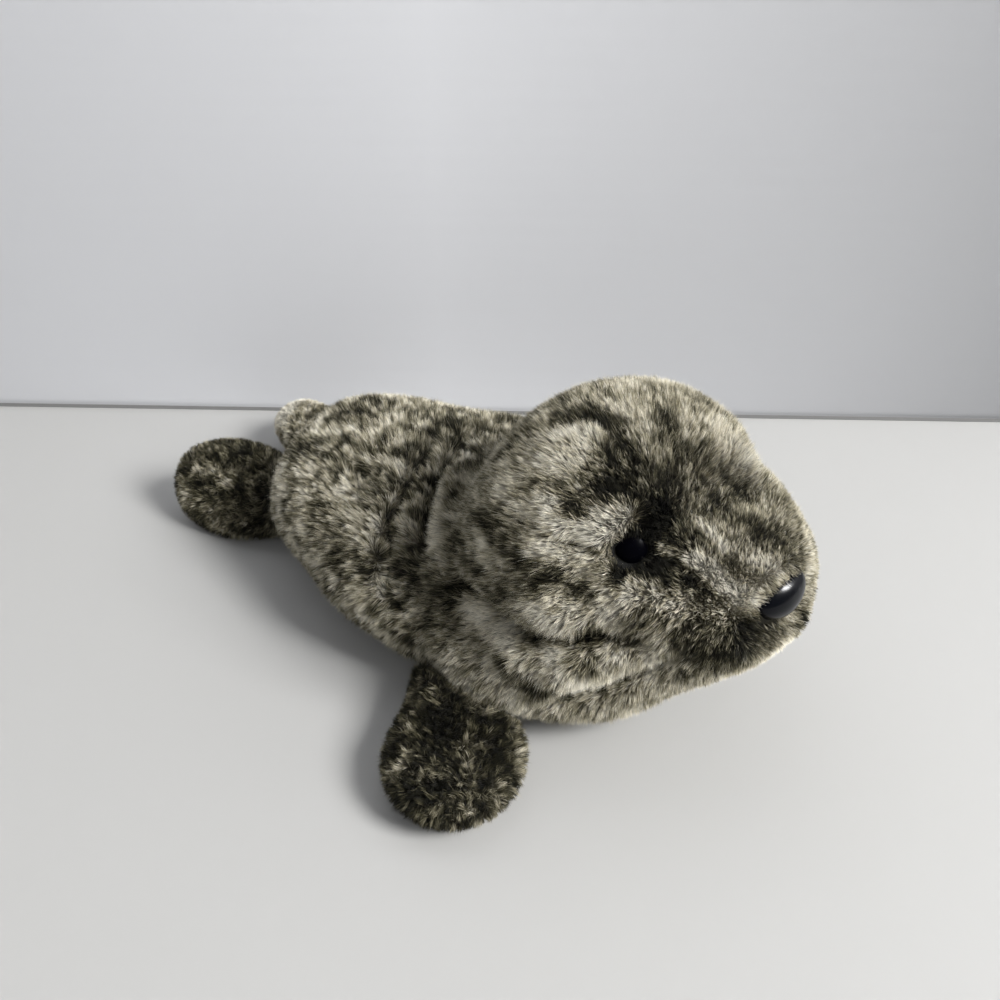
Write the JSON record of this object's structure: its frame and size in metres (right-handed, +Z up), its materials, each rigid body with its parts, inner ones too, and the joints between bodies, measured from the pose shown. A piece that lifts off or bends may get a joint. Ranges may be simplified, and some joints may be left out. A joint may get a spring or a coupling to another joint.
{
  "type": "plush seal",
  "caption": "Soft stuffed seal in mottled grey-brown pile fabric, lying on its belly with raised head, spread flippers, glossy button eyes and a black button nose.",
  "frame": {"origin": "middle of the footprint of the whole seal, on the table", "axes": "+Z up, -Y towards the nose, +Y towards the rear flippers, +X towards the seal's left side"},
  "size_m": [0.2238, 0.2645, 0.103],
  "materials": {
    "pile_fur": "long mottled pile, cream over dark olive",
    "flipper_fur": "long pile, darker and matted",
    "fibre": "loose white polyester fibre",
    "black_button": "glossy black",
    "washer": "plain moulded white"
  },
  "bodies": {
    "root": {"torso_cover": "pile_fur", "head_cover": "pile_fur", "torso_filling": "fibre", "head_filling": "fibre", "front_flipper_left": "flipper_fur", "front_flipper_right": "flipper_fur", "rear_flipper_left": "flipper_fur", "rear_flipper_right": "flipper_fur", "eye_left": "black_button", "eye_right": "black_button", "nose": "black_button", "eye_washer_left": "washer", "eye_washer_right": "washer", "nose_washer": "washer"}
  },
  "joints": []
}
